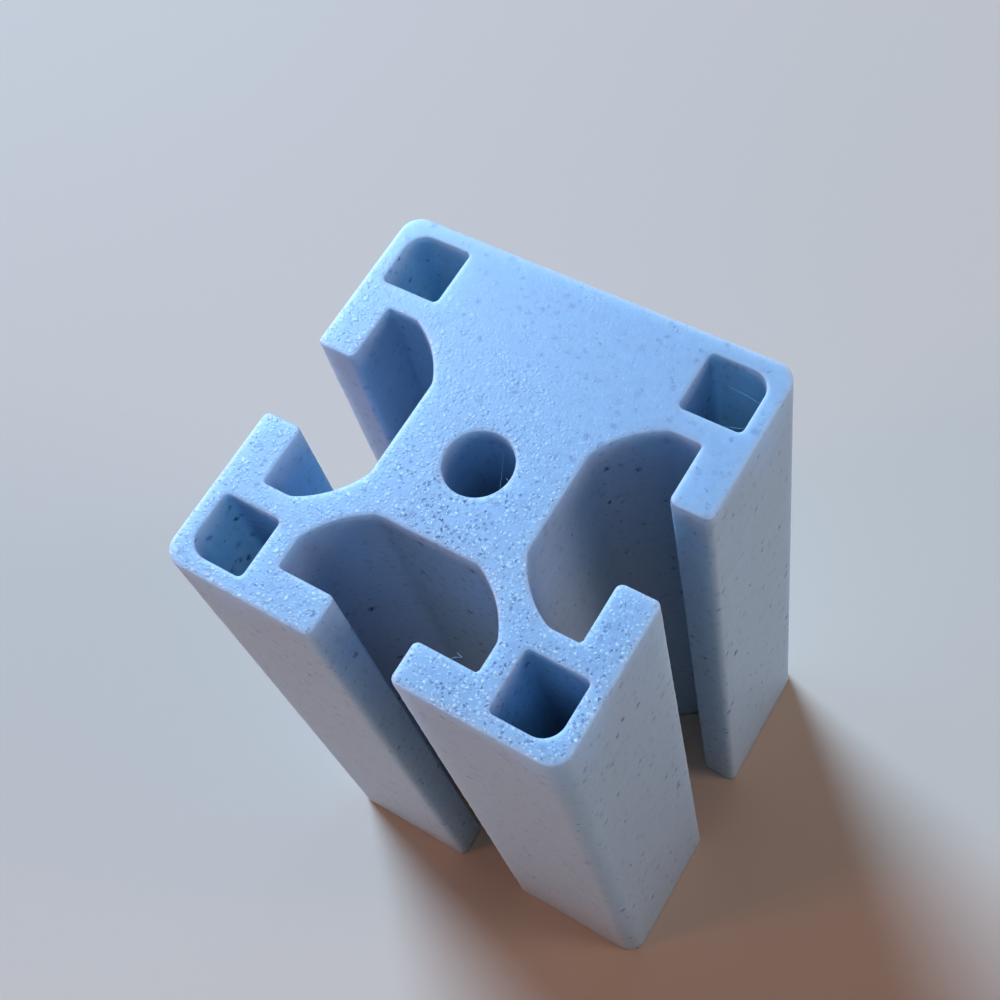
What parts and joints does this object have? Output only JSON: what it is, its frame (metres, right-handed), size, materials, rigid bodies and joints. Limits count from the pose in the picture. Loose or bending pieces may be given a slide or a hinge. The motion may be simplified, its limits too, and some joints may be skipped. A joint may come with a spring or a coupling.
{
  "type": "construction profile",
  "caption": "Short square construction profile standing on its end, with T-slots along its sides, one closed flat side, a round core bore and hollow corners.",
  "frame": {"origin": "middle of the lower end face, on the core bore's axis", "axes": "+Z along the length, up as it stands on its end; +Y out of the closed side; +X out of a slotted side"},
  "size_m": [0.04, 0.04, 0.07],
  "materials": {
    "body": "pale blue stone-flecked printed plastic, matte, with fine layer lines and a grained upper end"
  },
  "bodies": {
    "root": {"profile": "body"}
  },
  "joints": []
}
